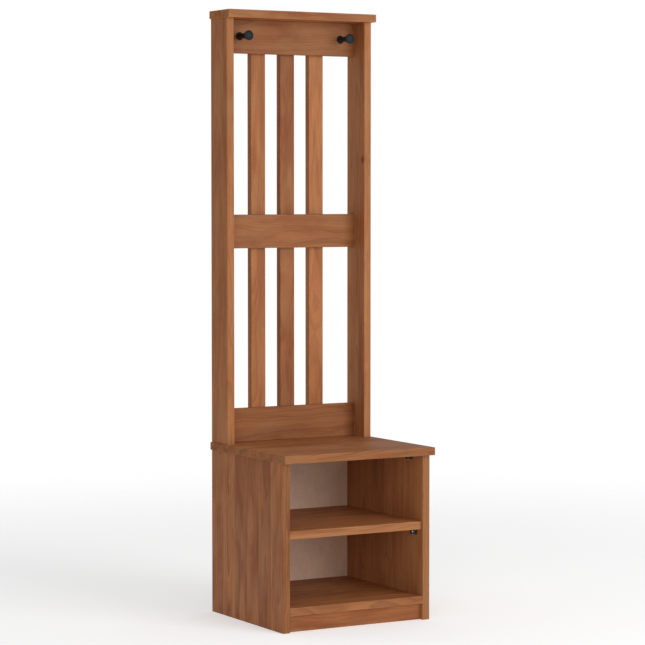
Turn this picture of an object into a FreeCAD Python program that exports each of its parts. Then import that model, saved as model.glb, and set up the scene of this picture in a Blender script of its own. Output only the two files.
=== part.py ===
import FreeCAD, Part

import os

import Sketcher
from FreeCAD import Vector

# Hall tree with hooks: an open bench with two bays, and on it a slatted back frame with a cap board
# and two knobs. Millimetres, +X right, +Y back, +Z up. The origin is on the floor, under the middle
# of the overall box, and the front faces -Y.

DIMENSIONS = {
    # the whole object
    "overall_width": 495,
    "overall_depth": 460,
    "overall_height": 1765,
    "board_thickness": 23,
    "side_overhang": 5,
    "front_overhang": 22,
    "edge_round": 2,
    # the bench
    "seat_height": 503,
    "middle_shelf_top": 286,
    "middle_shelf_recess": 9,
    "bottom_shelf_top": 70,
    "plinth_recess": 13,
    "back_panel_thickness": 3,
    "back_panel_inset": 3,
    # the back frame
    "post_depth": 102,
    "rail_height": 99,
    "rail_thickness": 20,
    "middle_rail_top": 1172,
    "slat_width": 48,
    "slat_thickness": 23,
    "slat_pitch": 98,
    "slat_end_gap": 10,
    # the knobs, their machine screws, washers and threaded inserts
    "knob_inset": 49.5,
    "knob_projection": 62,
    "knob_base_diameter": 24,
    "knob_base_thickness": 3,
    "knob_neck_diameter": 14.5,
    "knob_neck_distance": 17,
    "knob_head_diameter": 29.8,
    "knob_dome_height": 3.5,
    "knob_rim_round": 1.2,
    "insert_diameter": 7,
    "insert_length": 12,
    "bolt_diameter": 4,
    "bolt_tip_gap": 1,
    "bolt_head_diameter": 8,
    "bolt_head_height": 2.8,
    "washer_diameter": 12,
    "washer_thickness": 1,
    # the corner blocks and the screws in them
    "block_width": 12,
    "block_height": 17,
    "block_length": 20,
    "block_round": 1.5,
    "block_screw_offset": 5,
    "seat_block_setback": 58,
    "middle_block_setback": 32,
    "bottom_block_setback": 60,
    "plinth_block_inset": 90,
    "screw_diameter": 4,
    "screw_head_diameter": 8,
    "screw_head_height": 2.4,
    "screw_bite": 14,
    # the other fasteners
    "dowel_diameter": 8,
    "dowel_length": 30,
    "rail_dowel_spacing": 50,
    "seat_dowel_front": 100,
    "seat_dowel_rear": 160,
    "shelf_dowel_inset": 110,
    "post_dowel_inset": 14,
    "post_screw_diameter": 5,
    "post_screw_head_diameter": 10,
    "post_screw_bite": 37,
    "slat_screw_spacing": 50,
    "nail_diameter": 1.4,
    "nail_head_diameter": 3,
    "nail_head_height": 0.8,
    "nail_bite": 17,
    "nail_margin": 30,
    # clearances
    "hole_clearance": 0.1,
    "hole_end_gap": 1,
}

NAILS_PER_SIDE = 4
NAILS_PER_SHELF = 3

# Planes that several pieces share, as expressions on the sheet.
BODY = "(Size.overall_width / 2 - Size.side_overhang)"
INNER = f"({BODY} - Size.board_thickness)"
INNER_WIDTH = f"(2 * {INNER})"
FRONT = "(-Size.overall_depth / 2)"
REAR = "(Size.overall_depth / 2 - Size.back_panel_thickness)"
SIDE_FRONT = f"({FRONT} + Size.front_overhang)"
POST_FRONT = f"({REAR} - Size.post_depth)"
SEAT_UNDER = "(Size.seat_height - Size.board_thickness)"
CAP_UNDER = "(Size.overall_height - Size.board_thickness)"
MIDDLE_SHELF_UNDER = "(Size.middle_shelf_top - Size.board_thickness)"
BOTTOM_SHELF_UNDER = "(Size.bottom_shelf_top - Size.board_thickness)"
PLINTH_FRONT = f"({SIDE_FRONT} + Size.plinth_recess)"
PLINTH_REAR = f"({PLINTH_FRONT} + Size.board_thickness)"
RAIL_REAR = f"({REAR} - Size.slat_thickness)"
RAIL_FRONT = f"({RAIL_REAR} - Size.rail_thickness)"
RAIL_MIDDLE = f"({RAIL_REAR} - Size.rail_thickness / 2)"
RAIL_BOTTOMS = {
    "top_rail": f"({CAP_UNDER} - Size.rail_height)",
    "middle_rail": "(Size.middle_rail_top - Size.rail_height)",
    "bottom_rail": "Size.seat_height",
}
SIDES = {"left": -1, "right": 1}
SLATS = {"left": -1, "centre": 0, "right": 1}

# The origin plane square to each axis, and which way along the axis its normal points.
PLANES = {"X": ("YZ_Plane", 1), "Y": ("XZ_Plane", -1), "Z": ("XY_Plane", 1)}

doc = FreeCAD.newDocument("hall_tree")
pieces = {}


def make_sheet():
    """The sheet of driving dimensions, one named cell each."""
    made = doc.addObject("Spreadsheet::Sheet", "Size")
    for row, (alias, number) in enumerate(DIMENSIONS.items(), start=1):
        made.set(f"A{row}", alias)
        made.set(f"B{row}", str(number))
        made.setAlias(f"B{row}", alias)
    doc.recompute()
    return made


sheet = make_sheet()


def value(expression):
    """The number that an expression has now."""
    return float(sheet.evalExpression(expression))


def bind(sketch, constraint, expression):
    """Adds a dimension to a sketch and ties it to an expression."""
    index = sketch.addConstraint(constraint)
    sketch.setExpression(f"Constraints[{index}]", expression)


def pin_point(sketch, shape, point, place):
    """Ties a point of a sketch's shape to two coordinates in the sketch."""
    for kind, coordinate in zip(("DistanceX", "DistanceY"), place):
        constraint = Sketcher.Constraint(kind, -1, 1, shape, point, value(coordinate))
        bind(sketch, constraint, coordinate)


def draw_rectangle(sketch, low, size):
    """A rectangle from its low corner and its two sizes."""
    left, bottom = value(low[0]), value(low[1])
    right, top = left + value(size[0]), bottom + value(size[1])
    corners = [Vector(left, bottom), Vector(right, bottom), Vector(right, top), Vector(left, top)]
    first = sketch.GeometryCount
    for start, end in zip(corners, corners[1:] + corners[:1]):
        sketch.addGeometry(Part.LineSegment(start, end))
    for side in range(4):
        following = first + (side + 1) % 4
        sketch.addConstraint(Sketcher.Constraint("Coincident", first + side, 2, following, 1))
        sketch.addConstraint(Sketcher.Constraint("Vertical" if side % 2 else "Horizontal", first + side))
    pin_point(sketch, first, 1, low)
    bind(sketch, Sketcher.Constraint("DistanceX", first, 1, first, 2, right - left), size[0])
    bind(sketch, Sketcher.Constraint("DistanceY", first + 1, 1, first + 1, 2, top - bottom), size[1])


def draw_circle(sketch, centre, diameter):
    """A circle from its centre and diameter."""
    middle = Vector(value(centre[0]), value(centre[1]))
    index = sketch.addGeometry(Part.Circle(middle, Vector(0, 0, 1), value(diameter) / 2))
    pin_point(sketch, index, 3, centre)
    bind(sketch, Sketcher.Constraint("Diameter", index, value(diameter)), diameter)


def runs_along(edge, axes):
    """Whether an edge is straight and parallel to one of the axes."""
    if edge.Curve.TypeId != "Part::GeomLine":
        return False
    run = edge.Vertexes[-1].Point - edge.Vertexes[0].Point
    steps = dict(zip("XYZ", (abs(step) for step in run)))
    return any(abs(steps[axis] - edge.Length) < 1e-6 for axis in axes)


class Piece:
    """A body with its own placement. Every coordinate given to it is in the whole object's frame."""

    def __init__(self, name, corner):
        self.name = name
        self.corner = dict(zip("XYZ", corner))
        self.body = doc.addObject("PartDesign::Body", name)
        self.body.Label = name
        self.body.AllowCompound = True
        for axis, place in self.corner.items():
            self.body.setExpression("Placement.Base." + axis.lower(), place)
        self.solids = 1
        pieces[name] = self

    def local(self, axes, places):
        """The same coordinates, measured from the body's own origin."""
        return [f"({place}) - ({self.corner[axis]})" for axis, place in zip(axes, places)]

    def sketch(self, title, axis, place):
        """An empty sketch square to an axis, at a coordinate along it."""
        role, normal = PLANES[axis]
        made = self.body.newObject("Sketcher::SketchObject", f"{self.name}_{title}_sketch")
        plane = next(item for item in self.body.Origin.OriginFeatures if item.Role == role)
        made.AttachmentSupport = [(plane, "")]
        made.MapMode = "FlatFace"
        made.setExpression("AttachmentOffset.Base.z", f"{normal} * ({self.local(axis, [place])[0]})")
        return made

    def extrude(self, kind, title, sketch, axis, way, length):
        """Makes a Pad or a Pocket of a sketch, along the axis (way 1) or against it (way -1)."""
        made = self.body.newObject("PartDesign::" + kind, f"{self.name}_{title}")
        made.Profile = sketch
        made.setExpression("Length", length)
        with_normal = way * PLANES[axis][1] > 0
        made.Reversed = with_normal if kind == "Pocket" else not with_normal
        return made

    def boxes(self, title, axis, way, start, length, rectangles):
        """Pads rectangles, each (low corner, sizes) in the two other axes, from a start plane."""
        across = "XYZ".replace(axis, "")
        sketch = self.sketch(title, axis, start)
        for low, size in rectangles:
            draw_rectangle(sketch, self.local(across, low), size)
        self.solids = len(rectangles)
        return self.extrude("Pad", title, sketch, axis, way, length)

    def rounds(self, kind, title, axis, way, start, length, centres, diameter):
        """Pads or pockets circles from a start plane: rods, discs, holes."""
        across = "XYZ".replace(axis, "")
        sketch = self.sketch(title, axis, start)
        for centre in centres:
            draw_circle(sketch, self.local(across, centre), diameter)
        return self.extrude(kind, title, sketch, axis, way, length)

    def ease(self, axes, radius):
        """Rounds the straight edges that run along the given axes."""
        doc.recompute()
        base = self.body.Tip
        names = [f"Edge{n}" for n, edge in enumerate(base.Shape.Edges, 1) if runs_along(edge, axes)]
        made = self.body.newObject("PartDesign::Fillet", f"{self.name}_easing")
        made.Base = (base, names)
        made.setExpression("Radius", radius)


def board(name, low, size, eased):
    """A plain board from its low corner and its sizes, with the edges along some axes rounded."""
    piece = Piece(name, low)
    piece.boxes("board", "Z", 1, low[2], size[2], [(low[:2], size[:2])])
    piece.ease(eased, "Size.edge_round")


def make_bench():
    """The two side panels, the seat, the shelves, the plinth and the back panel."""
    side_depth = f"{REAR} - {SIDE_FRONT}"
    for side, sign in SIDES.items():
        left_face = f"-{BODY}" if sign < 0 else INNER
        board(
            f"side_panel_{side}",
            (left_face, SIDE_FRONT, "0"),
            ("Size.board_thickness", side_depth, SEAT_UNDER),
            "Z",
        )
    board(
        "seat_board",
        ("-Size.overall_width / 2", FRONT, SEAT_UNDER),
        ("Size.overall_width", f"{REAR} - {FRONT}", "Size.board_thickness"),
        "XYZ",
    )
    middle_front = f"({SIDE_FRONT} + Size.middle_shelf_recess)"
    board(
        "middle_shelf",
        (f"-{INNER}", middle_front, MIDDLE_SHELF_UNDER),
        (INNER_WIDTH, f"{REAR} - {middle_front}", "Size.board_thickness"),
        "X",
    )
    board(
        "bottom_shelf",
        (f"-{INNER}", SIDE_FRONT, BOTTOM_SHELF_UNDER),
        (INNER_WIDTH, side_depth, "Size.board_thickness"),
        "X",
    )
    board(
        "front_plinth",
        (f"-{INNER}", PLINTH_FRONT, "0"),
        (INNER_WIDTH, "Size.board_thickness", BOTTOM_SHELF_UNDER),
        "X",
    )
    panel_half = f"({BODY} - Size.back_panel_inset)"
    panel_low = f"({BOTTOM_SHELF_UNDER} + Size.back_panel_inset)"
    panel = Piece("back_panel", (f"-{panel_half}", REAR, panel_low))
    panel_height = f"Size.seat_height - Size.back_panel_inset - {panel_low}"
    outline = ((f"-{panel_half}", REAR), (f"2 * {panel_half}", "Size.back_panel_thickness"))
    panel.boxes("sheet", "Z", 1, panel_low, panel_height, [outline])


def make_back_frame():
    """The posts, the rails, the slats behind them and the cap board."""
    post_height = f"{CAP_UNDER} - Size.seat_height"
    for side, sign in SIDES.items():
        left_face = f"-{BODY}" if sign < 0 else INNER
        board(
            f"post_{side}",
            (left_face, POST_FRONT, "Size.seat_height"),
            ("Size.board_thickness", "Size.post_depth", post_height),
            "Z",
        )
    for name, bottom in RAIL_BOTTOMS.items():
        board(
            name,
            (f"-{INNER}", RAIL_FRONT, bottom),
            (INNER_WIDTH, "Size.rail_thickness", "Size.rail_height"),
            "X",
        )
    for side, step in SLATS.items():
        board(
            f"slat_{side}",
            (
                f"({step} * Size.slat_pitch - Size.slat_width / 2)",
                RAIL_REAR,
                "(Size.seat_height + Size.slat_end_gap)",
            ),
            ("Size.slat_width", "Size.slat_thickness", f"{post_height} - 2 * Size.slat_end_gap"),
            "Z",
        )
    cap_front = f"({POST_FRONT} - Size.front_overhang)"
    board(
        "cap_board",
        ("-Size.overall_width / 2", cap_front, CAP_UNDER),
        ("Size.overall_width", f"{REAR} - {cap_front}", "Size.board_thickness"),
        "XYZ",
    )


def loose_hole(diameter):
    """The diameter of a hole that takes something round of this diameter."""
    return f"{diameter} + 2 * Size.hole_clearance"


def make_dowels(name, corner, seams):
    """Dowels that lie half in each of two boards.

    A seam is (title, axis, plane, way, centres, near board, far board): way says on which side of
    the plane the far board is.
    """
    dowels = Piece(name, corner)
    half = "Size.dowel_length / 2"
    hole = loose_hole("Size.dowel_diameter")
    depth = f"{half} + Size.hole_end_gap"
    for title, axis, plane, way, centres, near, far in seams:
        start = f"{plane} - {way} * {half}"
        dowels.rounds("Pad", title, axis, way, start, "Size.dowel_length", centres, "Size.dowel_diameter")
        pieces[near].rounds("Pocket", title, axis, -way, plane, depth, centres, hole)
        pieces[far].rounds("Pocket", title, axis, way, plane, depth, centres, hole)
    dowels.solids = sum(len(seam[4]) for seam in seams)


def rail_centre(rail):
    """The height of a rail's middle."""
    return f"({RAIL_BOTTOMS[rail]} + Size.rail_height / 2)"


def make_all_dowels():
    """The dowels of every glued or plugged joint."""
    spread = "Size.rail_dowel_spacing / 2"
    rail_seams = []
    for rail in RAIL_BOTTOMS:
        centres = [(RAIL_MIDDLE, f"{rail_centre(rail)} + {sign} * {spread}") for sign in (-1, 1)]
        for side, sign in SIDES.items():
            plane = f"{sign} * {INNER}"
            rail_seams.append((f"{rail}_{side}", "X", plane, sign, centres, rail, f"post_{side}"))
    make_dowels("rail_dowels", ("0", RAIL_MIDDLE, "Size.seat_height"), rail_seams)

    column = f"({BODY} - Size.board_thickness / 2)"
    rear_dowel = f"{REAR} - Size.post_dowel_inset"
    front_dowel = f"({POST_FRONT} + {RAIL_FRONT}) / 2"
    cap_seams, foot_seams, seat_seams, shelf_seams, plinth_seams = [], [], [], [], []
    for side, sign in SIDES.items():
        across = f"{sign} * {column}"
        inner = f"{sign} * {INNER}"
        cap_centres = [(across, rear_dowel), (across, front_dowel)]
        cap_seams.append((f"cap_{side}", "Z", CAP_UNDER, 1, cap_centres, f"post_{side}", "cap_board"))
        foot_centres = [(across, rear_dowel)]
        foot_seams.append(
            (f"foot_{side}", "Z", "Size.seat_height", 1, foot_centres, "seat_board", f"post_{side}")
        )
        seat_centres = [
            (across, f"{SIDE_FRONT} + Size.seat_dowel_front"),
            (across, f"{REAR} - Size.seat_dowel_rear"),
        ]
        seat_seams.append(
            (f"seat_{side}", "Z", SEAT_UNDER, 1, seat_centres, f"side_panel_{side}", "seat_board")
        )
        shelf_middle = f"{BOTTOM_SHELF_UNDER} + Size.board_thickness / 2"
        shelf_centres = [
            (f"{SIDE_FRONT} + Size.shelf_dowel_inset", shelf_middle),
            (f"{REAR} - Size.shelf_dowel_inset", shelf_middle),
        ]
        shelf_seams.append(
            (f"shelf_{side}", "X", inner, sign, shelf_centres, "bottom_shelf", f"side_panel_{side}")
        )
        plinth_centres = [(f"{PLINTH_FRONT} + Size.board_thickness / 2", f"{BOTTOM_SHELF_UNDER} / 2")]
        plinth_seams.append(
            (f"plinth_{side}", "X", inner, sign, plinth_centres, "front_plinth", f"side_panel_{side}")
        )
    make_dowels("cap_dowels", ("0", REAR, CAP_UNDER), cap_seams)
    make_dowels("post_foot_dowels", ("0", REAR, "Size.seat_height"), foot_seams)
    make_dowels("seat_dowels", ("0", "0", SEAT_UNDER), seat_seams)
    make_dowels("bottom_shelf_dowels", ("0", "0", BOTTOM_SHELF_UNDER), shelf_seams)
    make_dowels("plinth_dowels", ("0", PLINTH_FRONT, "0"), plinth_seams)


def ordered(**places):
    """Coordinates in X, Y, Z order."""
    return [places[axis] for axis in "XYZ" if axis in places]


def make_blocks(name, thick, thin_axis, along_axis, blocks):
    """Corner blocks, each with one screw into each of the two boards that it joins.

    thick is (axis, face, way, board) for the board that the long screws hold, the same for all.
    A block is (face, way, board, middle): the face that its short screw holds, the way from the
    block to that board, the board, and the middle of the block along its length.
    """
    thick_axis, thick_face, thick_way, thick_board = thick
    corner = ordered(**{thick_axis: thick_face, thin_axis: "0", along_axis: "0"})
    blocks_piece = Piece(f"{name}_corner_blocks", corner)
    screws = Piece(f"{name}_block_screws", corner)
    screws.solids = 2 * len(blocks)
    hole = loose_hole("Size.screw_diameter")
    bite = "Size.screw_bite + Size.hole_end_gap"

    rectangles = []
    long_centres = []
    short_centres = {}
    for face, way, thin_board, middle in blocks:
        low = face if way < 0 else f"{face} - Size.block_width"
        along_low = f"{middle} - Size.block_length / 2"
        size = ordered(**{thin_axis: "Size.block_width", along_axis: "Size.block_length"})
        rectangles.append((ordered(**{thin_axis: low, along_axis: along_low}), size))
        half_width = f"{face} - {way} * Size.block_width / 2"
        long_along = f"{middle} + Size.block_screw_offset"
        long_centres.append(ordered(**{thin_axis: half_width, along_axis: long_along}))
        half_height = f"{thick_face} - {thick_way} * Size.block_height / 2"
        short_along = f"{middle} - Size.block_screw_offset"
        centre = ordered(**{thick_axis: half_height, along_axis: short_along})
        short_centres.setdefault((face, way, thin_board), []).append(centre)

    blocks_piece.boxes("blocks", thick_axis, -thick_way, thick_face, "Size.block_height", rectangles)
    blocks_piece.ease(along_axis, "Size.block_round")
    runs = [("long", thick_axis, thick_face, thick_way, thick_board, "Size.block_height", long_centres)]
    for count, ((face, way, thin_board), centres) in enumerate(short_centres.items(), 1):
        title = f"short_{count}"
        runs.append((title, thin_axis, face, way, thin_board, "Size.block_width", centres))
    for title, axis, face, way, held, through, centres in runs:
        outer = f"{face} - {way} * {through}"
        shank = f"{through} + Size.screw_bite"
        head = ("Size.screw_head_height", centres, "Size.screw_head_diameter")
        blocks_piece.rounds("Pocket", title, axis, way, outer, through, centres, hole)
        pieces[held].rounds("Pocket", f"{name}_{title}", axis, way, face, bite, centres, hole)
        screws.rounds("Pad", f"{title}_shanks", axis, way, outer, shank, centres, "Size.screw_diameter")
        screws.rounds("Pad", f"{title}_heads", axis, -way, outer, *head)


def make_all_blocks():
    """The corner blocks under the shelves, behind the plinth and behind the rails."""
    undersides = {
        "seat": (SEAT_UNDER, "seat_board", "Size.seat_block_setback"),
        "middle_shelf": (MIDDLE_SHELF_UNDER, "middle_shelf", "Size.middle_block_setback"),
        "bottom_shelf": (BOTTOM_SHELF_UNDER, "bottom_shelf", "Size.bottom_block_setback"),
    }
    for name, (under, held, setback) in undersides.items():
        setback_middle = f"({setback} + Size.block_length / 2)"
        middles = (f"{SIDE_FRONT} + {setback_middle}", f"{REAR} - {setback_middle}")
        blocks = [
            (f"{sign} * {INNER}", sign, f"side_panel_{side}", middle)
            for side, sign in SIDES.items()
            for middle in middles
        ]
        make_blocks(name, ("Z", under, 1, held), "X", "Y", blocks)
    for rail in RAIL_BOTTOMS:
        blocks = [
            (f"{sign} * {INNER}", sign, f"post_{side}", rail_centre(rail))
            for side, sign in SIDES.items()
        ]
        make_blocks(rail, ("Y", RAIL_REAR, -1, rail), "X", "Z", blocks)
    slat_gap_middle = "Size.slat_pitch / 2"
    plinth_middle = f"({INNER} - Size.plinth_block_inset)"
    ledges = {
        "plinth": ("front_plinth", PLINTH_REAR, "bottom_shelf", BOTTOM_SHELF_UNDER, 1, plinth_middle),
        "cap": ("top_rail", RAIL_REAR, "cap_board", CAP_UNDER, 1, slat_gap_middle),
        "frame_foot": ("bottom_rail", RAIL_REAR, "seat_board", "Size.seat_height", -1, slat_gap_middle),
    }
    for name, (upright, upright_face, level, level_face, way, middle) in ledges.items():
        blocks = [(level_face, way, level, f"{sign} * {middle}") for sign in SIDES.values()]
        make_blocks(name, ("Y", upright_face, -1, upright), "Z", "X", blocks)


def make_countersunk_screws(name, corner, runs, diameter, head_diameter):
    """Screws whose heads lie flush in the first board, and which bite in the second.

    A run is (title, axis, face, way, thickness of the first board, bite, centres, first, second).
    """
    screws = Piece(name, corner)
    hole = loose_hole(diameter)
    head_hole = loose_hole(head_diameter)
    cone = f"({head_diameter} - {diameter}) / 2"
    for title, axis, face, way, through, bite, centres, first, second in runs:
        far_face = f"{face} + {way} * {through}"
        length = f"{through} + {bite}"
        head = screws.rounds("Pad", f"{title}_heads", axis, way, face, cone, centres, head_diameter)
        head.TaperAngle = -45
        screws.rounds("Pad", f"{title}_shanks", axis, way, face, length, centres, diameter)
        sink = pieces[first].rounds("Pocket", f"{title}_sinks", axis, way, face, cone, centres, head_hole)
        sink.TaperAngle = -45
        pieces[first].rounds("Pocket", f"{title}_holes", axis, way, face, through, centres, hole)
        depth = f"{bite} + Size.hole_end_gap"
        pieces[second].rounds("Pocket", title, axis, way, far_face, depth, centres, hole)
    screws.solids = sum(len(run[6]) for run in runs)


def make_long_screws():
    """The screws up through the seat into the posts, and through the slats into the rails."""
    column = f"({BODY} - Size.board_thickness / 2)"
    free_foot = f"({RAIL_FRONT} - {POST_FRONT})"
    foot_runs = []
    for side, sign in SIDES.items():
        centres = [(f"{sign} * {column}", f"{POST_FRONT} + {free_foot} * {part} / 4") for part in (1, 3)]
        grip = ("Size.board_thickness", "Size.post_screw_bite", centres)
        foot_runs.append((f"foot_{side}", "Z", SEAT_UNDER, 1, *grip, "seat_board", f"post_{side}"))
    make_countersunk_screws(
        "post_screws",
        ("0", REAR, SEAT_UNDER),
        foot_runs,
        "Size.post_screw_diameter",
        "Size.post_screw_head_diameter",
    )
    slat_runs = []
    for side, step in SLATS.items():
        for rail in RAIL_BOTTOMS:
            centres = [
                (f"{step} * Size.slat_pitch", f"{rail_centre(rail)} + {sign} * Size.slat_screw_spacing / 2")
                for sign in (-1, 1)
            ]
            grip = ("Size.slat_thickness", "Size.screw_bite", centres)
            slat_runs.append((f"{rail}_{side}", "Y", REAR, -1, *grip, f"slat_{side}", rail))
    make_countersunk_screws(
        "slat_screws",
        ("0", REAR, "Size.seat_height"),
        slat_runs,
        "Size.screw_diameter",
        "Size.screw_head_diameter",
    )


def spread(low, high, count):
    """Coordinates spread evenly from low to high."""
    return [f"{low} + ({high} - {low}) * {step} / {count - 1}" for step in range(count)]


def make_nails():
    """The nails that hold the back panel to the sides, the shelves and the seat."""
    column = f"({BODY} - Size.board_thickness / 2)"
    across = (f"(-{INNER} + Size.nail_margin)", f"({INNER} - Size.nail_margin)")
    upright = ("(Size.bottom_shelf_top + Size.nail_margin)", f"({SEAT_UNDER} - Size.nail_margin)")
    rows = {
        f"side_panel_{side}": [
            (f"{sign} * {column}", place) for place in spread(*upright, NAILS_PER_SIDE)
        ]
        for side, sign in SIDES.items()
    }
    half_board = "Size.board_thickness / 2"
    for shelf, under in (("bottom_shelf", BOTTOM_SHELF_UNDER), ("middle_shelf", MIDDLE_SHELF_UNDER)):
        rows[shelf] = [(place, f"{under} + {half_board}") for place in spread(*across, NAILS_PER_SHELF)]
    # in line with the slats, between the blocks that hold the frame to the seat
    slat_middles = [f"{step} * Size.slat_pitch" for step in SLATS.values()]
    rows["seat_board"] = [(place, f"{SEAT_UNDER} + {half_board}") for place in slat_middles]
    centres = [centre for row in rows.values() for centre in row]
    outside = "(Size.overall_depth / 2)"
    hole = loose_hole("Size.nail_diameter")
    head_hole = loose_hole("Size.nail_head_diameter")
    through = "Size.back_panel_thickness"
    length = f"{through} + Size.nail_bite"
    nails = Piece("back_panel_nails", ("0", REAR, "0"))
    nails.rounds("Pad", "shanks", "Y", -1, outside, length, centres, "Size.nail_diameter")
    head = ("Size.nail_head_height", centres, "Size.nail_head_diameter")
    nails.rounds("Pad", "heads", "Y", -1, outside, *head)
    nails.solids = len(centres)
    panel = pieces["back_panel"]
    panel.rounds("Pocket", "holes", "Y", -1, outside, through, centres, hole)
    panel.rounds("Pocket", "sinks", "Y", -1, outside, "Size.nail_head_height", centres, head_hole)
    depth = "Size.nail_bite + Size.hole_end_gap"
    for held, row in rows.items():
        pieces[held].rounds("Pocket", "nail_holes", "Y", -1, REAR, depth, row, hole)


def draw_knob(sketch):
    """Half of a knob's outline: a base disc, a hollow neck, a flared head and a low dome."""
    places = {
        "centre": ("0", "0"),
        "base": ("Size.knob_base_diameter / 2", "0"),
        "base_top": ("Size.knob_base_diameter / 2", "-Size.knob_base_thickness"),
        "neck": ("Size.knob_neck_diameter / 2", "-Size.knob_neck_distance"),
        "rim": ("Size.knob_head_diameter / 2", "-(Size.knob_projection - Size.knob_dome_height)"),
        "nose": ("0", "-Size.knob_projection"),
    }
    points = {name: Vector(*(value(part) for part in place)) for name, place in places.items()}

    def hollow(outer):
        """The arc from the neck to a wider point, with its middle level with the neck."""
        neck, end = points["neck"], points[outer]
        step = end - neck
        radius = (step.x**2 + step.y**2) / (2 * step.x)
        middle = Vector(neck.x + radius, neck.y)
        halfway = (neck + end) / 2 - middle
        return middle + halfway * (radius / halfway.Length)

    dome_middle = Vector(points["rim"].x / 2, points["nose"].y + value("Size.knob_dome_height") / 4)
    outline = [
        ("centre", "base", None),
        ("base", "base_top", None),
        ("base_top", "neck", hollow("base_top")),
        ("neck", "rim", hollow("rim")),
        ("nose", "rim", dome_middle),
        ("nose", "centre", None),
    ]
    ends = {}
    for start, end, via in outline:
        if via is None:
            shape = Part.LineSegment(points[start], points[end])
        else:
            shape = Part.Arc(points[start], via, points[end])
        index = sketch.addGeometry(shape)
        for point, name in ((1, start), (2, end)):
            if name in ends:
                sketch.addConstraint(Sketcher.Constraint("Coincident", *ends[name], index, point))
            else:
                ends[name] = (index, point)
    for name, place in places.items():
        pin_point(sketch, *ends[name], place)
    first_hollow, second_hollow, dome = 2, 3, 4
    for arc in (first_hollow, second_hollow):
        level = Sketcher.Constraint("DistanceY", -1, 1, arc, 3, points["neck"].y)
        bind(sketch, level, "-Size.knob_neck_distance")
    sketch.addConstraint(Sketcher.Constraint("PointOnObject", dome, 3, -2))


def make_knob(side, across, height):
    """A knob turned about its own axis, which points to the front, with a blind hole in its base."""
    knob = Piece(f"knob_{side}", (across, RAIL_FRONT, height))
    sketch = knob.sketch("outline", "Z", height)
    draw_knob(sketch)
    turned = knob.body.newObject("PartDesign::Revolution", f"knob_{side}_turned")
    turned.Profile = sketch
    turned.ReferenceAxis = (sketch, ["V_Axis"])
    turned.Angle = 360
    doc.recompute()
    rims = [value("Size.knob_base_diameter / 2"), value("Size.knob_head_diameter / 2")]
    names = [
        f"Edge{n}"
        for n, edge in enumerate(turned.Shape.Edges, 1)
        if not edge.Degenerated
        and edge.Closed
        and edge.Curve.TypeId == "Part::GeomCircle"
        and edge.Curve.Center.y < -1e-6
        and min(abs(edge.Curve.Radius - rim) for rim in rims) < 1e-6
    ]
    eased = knob.body.newObject("PartDesign::Fillet", f"knob_{side}_easing")
    eased.Base = (turned, names)
    eased.setExpression("Radius", "Size.knob_rim_round")
    depth = "Size.insert_length + Size.hole_end_gap"
    hole = loose_hole("Size.insert_diameter")
    knob.rounds("Pocket", "bore", "Y", -1, RAIL_FRONT, depth, [(across, height)], hole)


def make_knobs():
    """The knobs on the top rail, and what holds them from behind."""
    height = rail_centre("top_rail")
    centres = []
    for side, sign in SIDES.items():
        across = f"({sign} * ({INNER} - Size.knob_inset))"
        centres.append((across, height))
        make_knob(side, across, height)
    bolt_hole = loose_hole("Size.bolt_diameter")

    inserts = Piece("knob_inserts", ("0", RAIL_FRONT, height))
    body = ("Size.insert_length", centres, "Size.insert_diameter")
    inserts.rounds("Pad", "tubes", "Y", -1, RAIL_FRONT, *body)
    inserts.rounds("Pocket", "threads", "Y", -1, RAIL_FRONT, "Size.insert_length", centres, bolt_hole)

    washers = Piece("knob_washers", ("0", RAIL_REAR, height))
    ring = ("Size.washer_thickness", centres, "Size.washer_diameter")
    washers.rounds("Pad", "discs", "Y", 1, RAIL_REAR, *ring)
    washers.rounds("Pocket", "holes", "Y", 1, RAIL_REAR, "Size.washer_thickness", centres, bolt_hole)

    seat = f"{RAIL_REAR} + Size.washer_thickness"
    reach = "Size.washer_thickness + Size.rail_thickness + Size.insert_length - Size.bolt_tip_gap"
    bolts = Piece("knob_bolts", ("0", RAIL_REAR, height))
    bolts.rounds("Pad", "shanks", "Y", -1, seat, reach, centres, "Size.bolt_diameter")
    bolts.rounds("Pad", "heads", "Y", 1, seat, "Size.bolt_head_height", centres, "Size.bolt_head_diameter")
    rail = pieces["top_rail"]
    rail.rounds("Pocket", "bolt_holes", "Y", 1, RAIL_FRONT, "Size.rail_thickness", centres, bolt_hole)
    for group in (inserts, washers, bolts):
        group.solids = len(centres)


def check_model():
    """Stops on a failed object, a pocket that cuts nothing, or a body with a wrong shape."""
    for item in doc.Objects:
        if "Invalid" in item.State or "Error" in item.State:
            raise RuntimeError(f"{item.Name} failed: {item.State}")
        if item.TypeId == "PartDesign::Pocket":
            if item.BaseFeature.Shape.Volume - item.Shape.Volume < 0.1:
                raise RuntimeError(f"{item.Name} cuts nothing")
    for name, piece in pieces.items():
        shape = piece.body.Shape
        if shape.isNull() or not shape.isValid():
            raise RuntimeError(f"{name} has no valid shape")
        if len(shape.Solids) != piece.solids:
            raise RuntimeError(f"{name} has {len(shape.Solids)} solids, not {piece.solids}")


def export_parts():
    """Writes one file for each piece, named by its label."""
    os.makedirs("parts", exist_ok=True)
    for piece in pieces.values():
        piece.body.Shape.exportStep(f"parts/{piece.body.Label}.step")


make_bench()
make_back_frame()
make_all_dowels()
make_all_blocks()
make_long_screws()
make_nails()
make_knobs()
doc.recompute()
check_model()
export_parts()
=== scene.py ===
import math

import bmesh
import bpy
from mathutils import Matrix, Vector


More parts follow.
